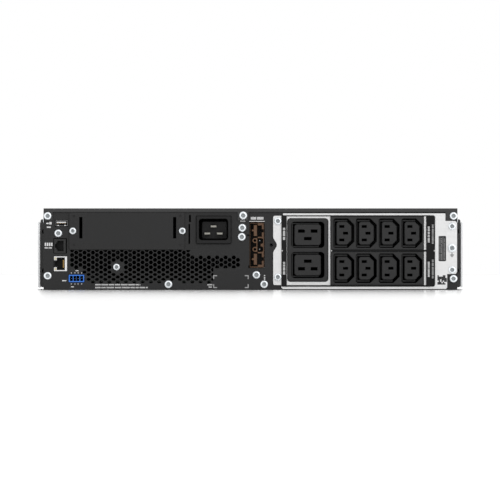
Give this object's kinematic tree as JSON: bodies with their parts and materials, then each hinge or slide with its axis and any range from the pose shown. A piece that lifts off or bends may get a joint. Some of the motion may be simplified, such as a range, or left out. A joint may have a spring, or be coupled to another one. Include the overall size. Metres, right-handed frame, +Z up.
{
  "type": "rackmount uninterruptible power supply",
  "caption": "Flat rackmount uninterruptible power supply with mixed mains outlets, inlet, vents and ports on its rear panel, rack ears and a sliding battery drawer.",
  "frame": {"origin": "centre of the bottom face of the chassis, with the depth counted from bezel to rear panel", "axes": "+Z up, +Y towards the rear panel, front and display at -Y, +X to the right seen from the front"},
  "size_m": [0.4826, 0.6403, 0.085],
  "materials": {
    "battery_case": "moulded",
    "bezel_black": "moulded, fine grain",
    "bezel_silver": "silver lacquer",
    "board_green": "solder mask",
    "button_grey": "moulded",
    "capacitor_sleeve": "shrink sleeve",
    "chassis_paint": "fine texture powder coat",
    "copper_winding": "enamelled copper wire",
    "display_glass": "clear window over a dark display",
    "epo_blue": "moulded",
    "fan_black": "moulded",
    "galvanised_sheet": "galvanised",
    "handle_grip": "moulded",
    "heat_sink": "extruded",
    "jack_black": "moulded",
    "lid_paint": "fine texture powder coat",
    "outlet_black": "moulded, fine grain",
    "overlay_black": "printed film",
    "pin_nickel": "nickel plated",
    "port_brown": "moulded",
    "screw_steel": "bright zinc",
    "shell_steel": "stamped, plated",
    "zinc_plate": "plated, satin"
  },
  "bodies": {
    "chassis": {"battery_port": "port_brown", "bay_divider": "galvanised_sheet", "capacitor_1": "capacitor_sleeve", "capacitor_2": "capacitor_sleeve", "capacitor_3": "capacitor_sleeve", "card_cage": "galvanised_sheet", "chassis_tray": "chassis_paint", "choke_left": "copper_winding", "choke_right": "copper_winding", "control_board": "board_green", "display_board": "board_green", "display_housing": "bezel_black", "display_window": "display_glass", "epo_socket": "epo_blue", "fan_frame_1": "fan_black", "fan_frame_2": "fan_black", "front_panel": "galvanised_sheet", "ground_screw": "screw_steel", "heat_sink_left": "heat_sink", "heat_sink_right": "heat_sink", "inlet_housing": "outlet_black", "inlet_pin_earth": "pin_nickel", "inlet_pin_line": "pin_nickel", "inlet_pin_neutral": "pin_nickel", "lid_screw_left": "screw_steel", "lid_screw_middle": "screw_steel", "lid_screw_right": "screw_steel", "network_jack": "shell_steel", "outlet_bank_lower": "outlet_black", "outlet_bank_upper": "outlet_black", "outlet_block_c19": "outlet_black", "output_board": "board_green", "output_overlay": "overlay_black", "output_plate": "zinc_plate", "power_board": "board_green", "rack_ear_left": "chassis_paint", "rack_ear_right": "chassis_paint", "rear_panel": "chassis_paint", "serial_jack": "jack_black", "top_cover": "lid_paint", "usb_port": "shell_steel"},
    "battery_drawer": {"battery_tray": "galvanised_sheet", "battery_string_left": "battery_case", "battery_string_right": "battery_case", "drawer_front": "bezel_black"},
    "drawer_handle": {"drawer_handle": "handle_grip"},
    "bezel": {"front_bezel": "bezel_black", "bezel_trim_left": "bezel_silver", "bezel_trim_right": "bezel_silver"},
    "slot_cover": {"slot_cover": "chassis_paint", "slot_screw_left": "screw_steel", "slot_screw_right": "screw_steel"},
    "fan_rotor_1": {"fan_rotor_1": "fan_black"},
    "fan_rotor_2": {"fan_rotor_2": "fan_black"},
    "nav_button_escape": {"nav_button_escape": "button_grey"},
    "nav_button_up": {"nav_button_up": "button_grey"},
    "nav_button_down": {"nav_button_down": "button_grey"},
    "nav_button_enter": {"nav_button_enter": "button_grey"},
    "power_button": {"power_button": "button_grey"}
  },
  "joints": [
    {"name": "battery_drawer_slide", "type": "slide", "parent": "chassis", "child": "battery_drawer", "axis": [0, -1, 0], "range_m": [0, 0.36]},
    {"name": "drawer_handle_hinge", "type": "hinge", "parent": "battery_drawer", "child": "drawer_handle", "pos_m": [-0.111, -0.3145, 0.052], "axis": [-1, 0, 0], "range_deg": [0, 90]},
    {"name": "bezel_pull", "type": "slide", "parent": "chassis", "child": "bezel", "axis": [0, -1, 0], "range_m": [0, 0.05]},
    {"name": "slot_cover_slide", "type": "slide", "parent": "chassis", "child": "slot_cover", "axis": [0, 1, 0], "range_m": [0, 0.04]},
    {"name": "fan_1_spin", "type": "hinge", "parent": "chassis", "child": "fan_rotor_1", "pos_m": [0.055, -0.1375, 0.0423], "axis": [0, 1, 0], "continuous": true},
    {"name": "fan_2_spin", "type": "hinge", "parent": "chassis", "child": "fan_rotor_2", "pos_m": [0.153, -0.1375, 0.0423], "axis": [0, 1, 0], "continuous": true},
    {"name": "nav_button_escape_press", "type": "slide", "parent": "chassis", "child": "nav_button_escape", "axis": [0, 1, 0], "range_m": [0, 0.0015], "stiffness_N_per_m": 400, "springref_m": -0.001},
    {"name": "nav_button_up_press", "type": "slide", "parent": "chassis", "child": "nav_button_up", "axis": [0, 1, 0], "range_m": [0, 0.0015], "stiffness_N_per_m": 400, "springref_m": -0.001},
    {"name": "nav_button_down_press", "type": "slide", "parent": "chassis", "child": "nav_button_down", "axis": [0, 1, 0], "range_m": [0, 0.0015], "stiffness_N_per_m": 400, "springref_m": -0.001},
    {"name": "nav_button_enter_press", "type": "slide", "parent": "chassis", "child": "nav_button_enter", "axis": [0, 1, 0], "range_m": [0, 0.0015], "stiffness_N_per_m": 400, "springref_m": -0.001},
    {"name": "power_button_press", "type": "slide", "parent": "chassis", "child": "power_button", "axis": [0, 1, 0], "range_m": [0, 0.0015], "stiffness_N_per_m": 400, "springref_m": -0.001}
  ]
}
